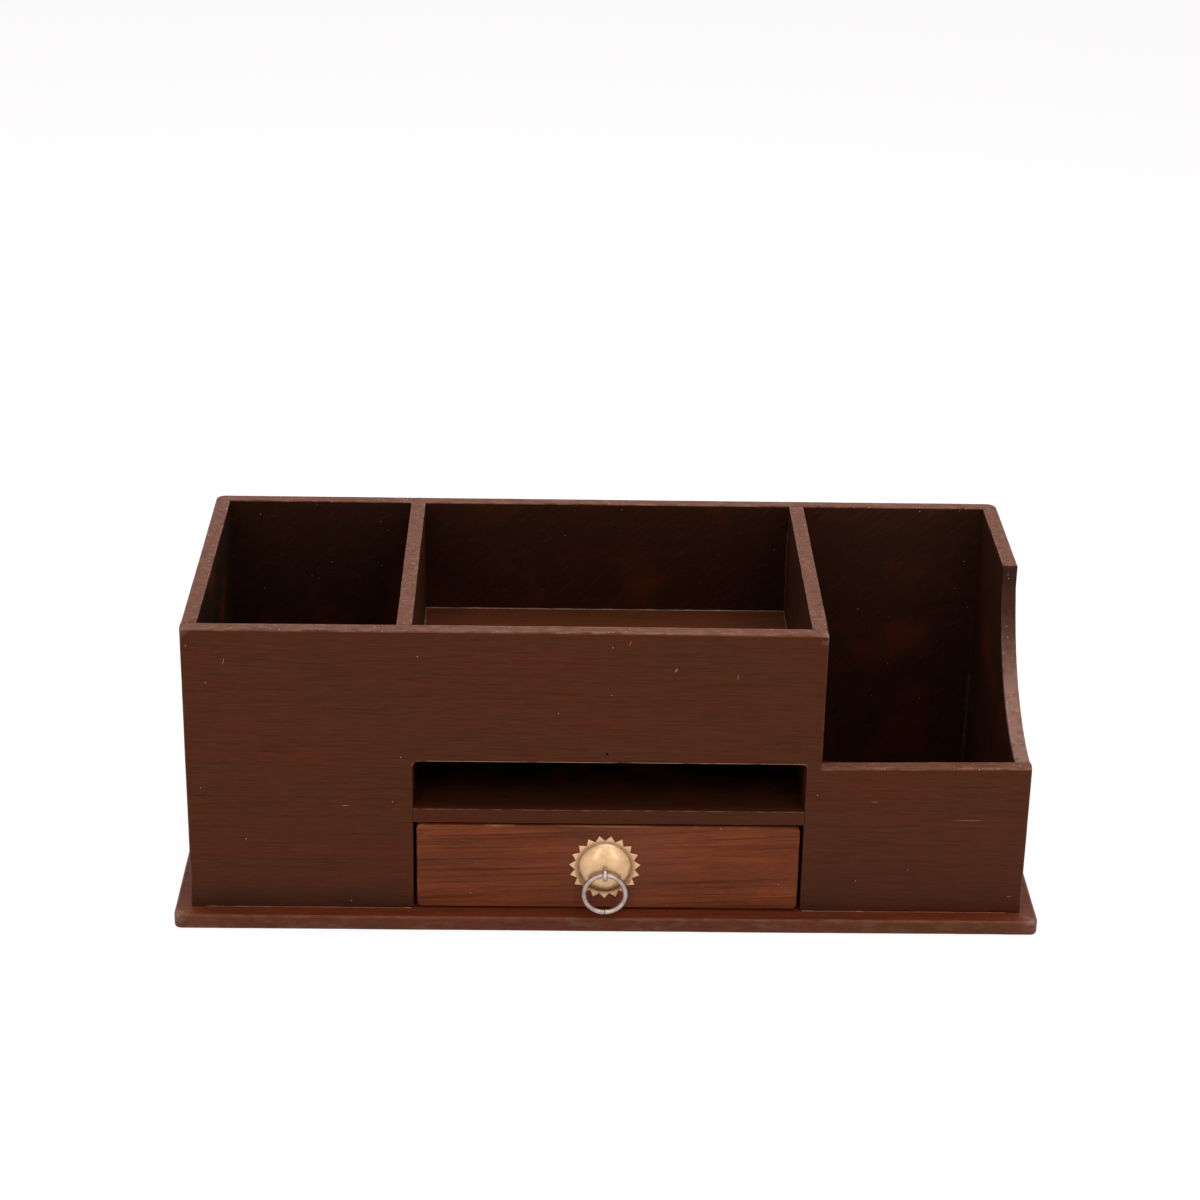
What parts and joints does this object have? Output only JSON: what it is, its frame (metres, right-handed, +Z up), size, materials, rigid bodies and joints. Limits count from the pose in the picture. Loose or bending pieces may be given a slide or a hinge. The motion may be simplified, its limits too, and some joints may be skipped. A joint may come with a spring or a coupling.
{
  "type": "pen stand with drawer",
  "caption": "Wooden desk organizer with pen, tray and letter compartments, an open shelf slot and a small drawer with a brass rosette ring pull.",
  "frame": {"origin": "centre of the base plate's underside, on the table", "axes": "+Z up, the front with the drawer faces -Y, +X to the right seen from the front"},
  "size_m": [0.3436, 0.1517, 0.1278],
  "materials": {
    "walnut_stained_board": "satin",
    "drawer_front_wood": "satin",
    "drawer_box_wood": "matt",
    "satin_brass": "satin",
    "steel_wire": "satin",
    "pin_steel": "bright"
  },
  "bodies": {
    "carcass": {"base_plate": "walnut_stained_board", "front_panel": "walnut_stained_board", "back_panel": "walnut_stained_board", "left_side": "walnut_stained_board", "right_side": "walnut_stained_board", "pen_divider": "walnut_stained_board", "letter_divider": "walnut_stained_board", "shelf": "walnut_stained_board", "tray_floor": "walnut_stained_board", "carcass_pins": "pin_steel", "base_pins": "pin_steel"},
    "drawer": {"drawer_front": "drawer_front_wood", "drawer_left_side": "drawer_box_wood", "drawer_right_side": "drawer_box_wood", "drawer_back": "drawer_box_wood", "drawer_bottom": "drawer_box_wood", "rosette": "satin_brass", "ring_eye": "steel_wire", "drawer_pins": "pin_steel"},
    "ring": {"pull_ring": "steel_wire"}
  },
  "joints": [
    {"name": "drawer_slide", "type": "slide", "parent": "carcass", "child": "drawer", "axis": [0, -1, 0], "range_m": [0, 0.1]},
    {"name": "ring_swing", "type": "hinge", "parent": "drawer", "child": "ring", "pos_m": [-0.0012, -0.0743, 0.02565], "axis": [-1, 0, 0], "range_deg": [-18, 198]}
  ]
}
